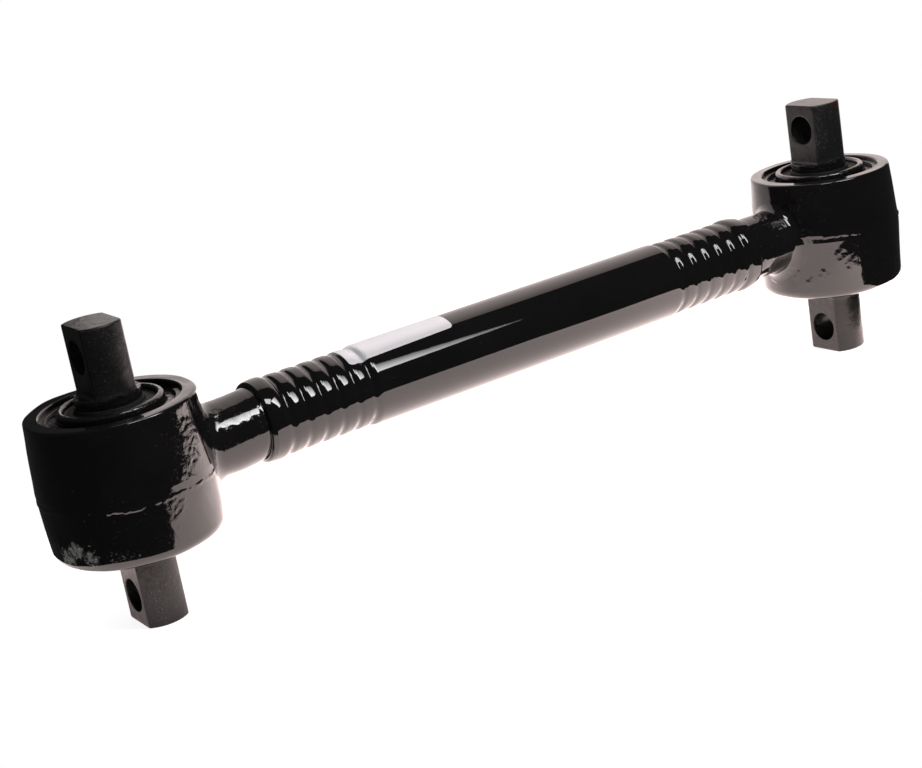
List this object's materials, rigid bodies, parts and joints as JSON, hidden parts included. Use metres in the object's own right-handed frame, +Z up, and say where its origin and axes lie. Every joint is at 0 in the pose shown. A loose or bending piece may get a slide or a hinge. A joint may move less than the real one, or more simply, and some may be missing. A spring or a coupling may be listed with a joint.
{
  "type": "axle reaction rod",
  "caption": "Straight suspension reaction rod: a crimped steel tube between two forged eyes, each with a rubber-bushed cross pin that bolts to a bracket through its flats.",
  "frame": {"origin": "on the floor below the middle of the rod, midway between the two pins, at the height of the pins' lower ends", "axes": "+X runs along the rod from the left eye to the right eye, +Z up along the pins, +Y away from the side that carries the label"},
  "size_m": [0.6884, 0.1084, 0.189],
  "materials": {
    "forged_paint": "gloss black enamel over a rough forged skin",
    "tube_paint": "smooth gloss black enamel",
    "pin_steel": "matte dark phosphate coat with machined flats",
    "bush_rubber": "dull black rubber",
    "plate_paint": "gloss black enamel on pressed steel",
    "ring_steel": "dark spring steel with paint and oil on it",
    "label_foil": "satin silver foil, left bare"
  },
  "bodies": {
    "rod": {"tube": "tube_paint", "label_blank": "label_foil", "head_left": "forged_paint", "rubber_bush_left": "bush_rubber", "cover_plate_left_upper": "plate_paint", "snap_ring_left_upper": "ring_steel", "cover_plate_left_lower": "plate_paint", "snap_ring_left_lower": "ring_steel", "head_right": "forged_paint", "rubber_bush_right": "bush_rubber", "cover_plate_right_upper": "plate_paint", "snap_ring_right_upper": "ring_steel", "cover_plate_right_lower": "plate_paint", "snap_ring_right_lower": "ring_steel"},
    "left_pin": {"pin_left": "pin_steel"},
    "right_pin": {"pin_right": "pin_steel"}
  },
  "joints": [
    {"name": "left_pin_twist", "type": "hinge", "parent": "rod", "child": "left_pin", "pos_m": [-0.29, 0, 0.0945], "axis": [0, 0, 1], "range_deg": [-12, 12], "stiffness_Nm_per_rad": 200},
    {"name": "right_pin_twist", "type": "hinge", "parent": "rod", "child": "right_pin", "pos_m": [0.29, 0, 0.0945], "axis": [0, 0, 1], "range_deg": [-12, 12], "stiffness_Nm_per_rad": 200}
  ]
}
